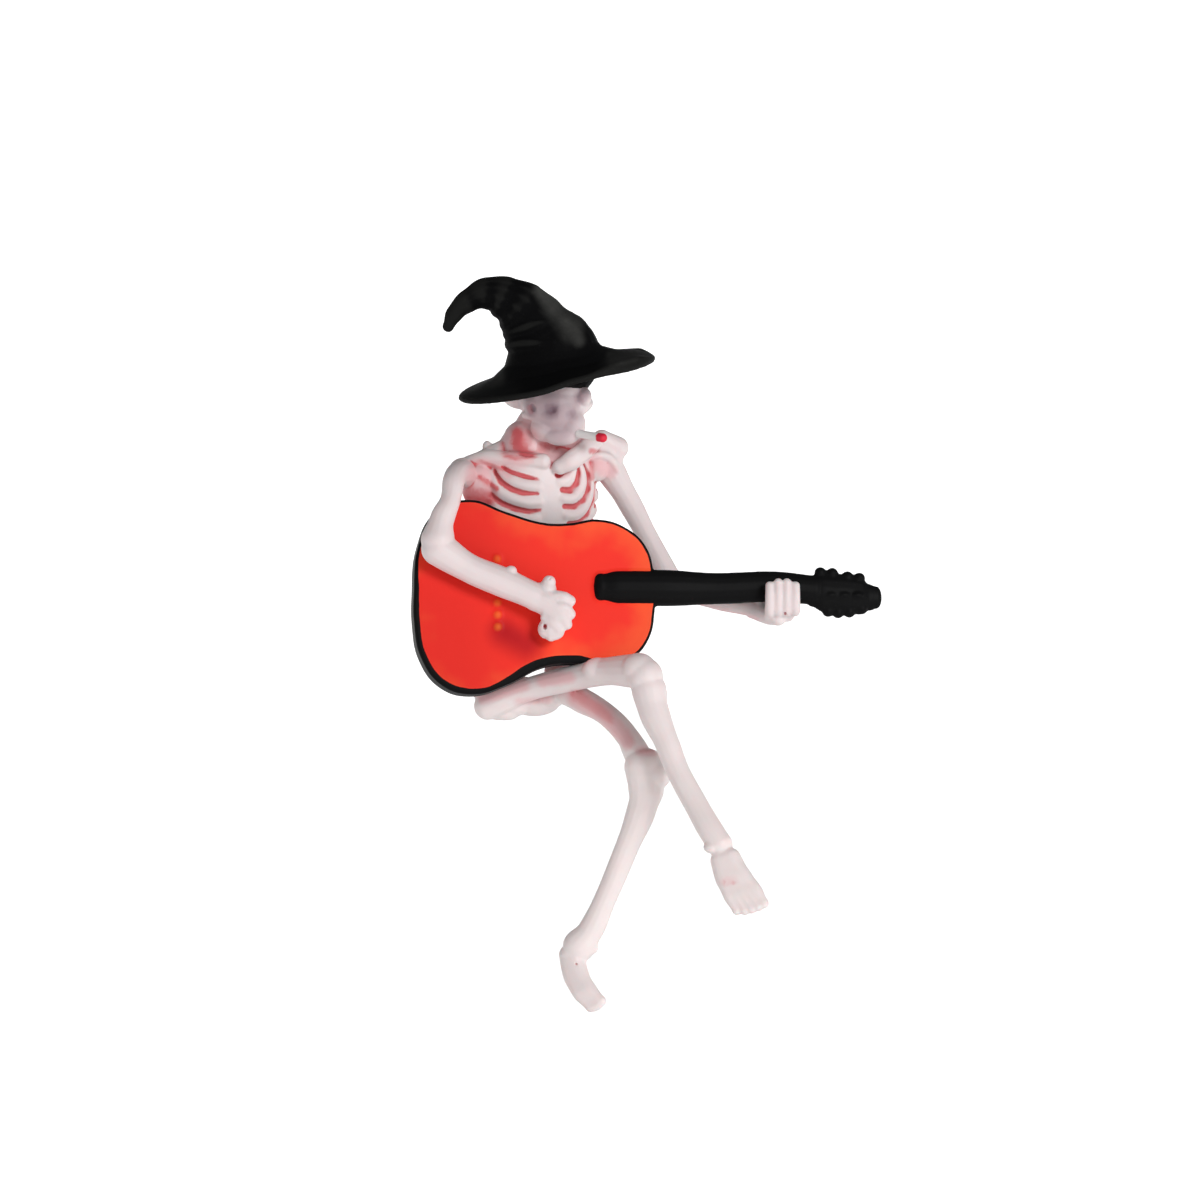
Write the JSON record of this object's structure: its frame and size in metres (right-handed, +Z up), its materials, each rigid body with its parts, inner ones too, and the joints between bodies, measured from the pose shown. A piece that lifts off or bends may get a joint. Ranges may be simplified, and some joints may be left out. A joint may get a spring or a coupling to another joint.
{
  "type": "skeleton figurine",
  "caption": "Small cast shelf-edge figurine: a seated skeleton in a curled witch hat, cigarette in its mouth, playing an acoustic guitar with one leg crossed over the other.",
  "frame": {"origin": "centre of the flat seat face under the pelvis, which rests on a shelf near its edge", "axes": "+Z up, the figure faces -Y, +X towards the figure's left hand and the guitar's headstock"},
  "size_m": [0.0696, 0.0556, 0.1076],
  "materials": {
    "bone_white": "soft white cast vinyl with a rose-red wash left in every recess",
    "hat_black": "satin black paint over shallow creases",
    "guitar_red": "orange-red gloss face with hand-painted black sides, neck and headstock",
    "paper_white": "matt white stick with a red painted tip"
  },
  "bodies": {
    "root": {"skeleton": "bone_white", "witch_hat": "hat_black", "guitar": "guitar_red", "cigarette": "paper_white"}
  },
  "joints": []
}
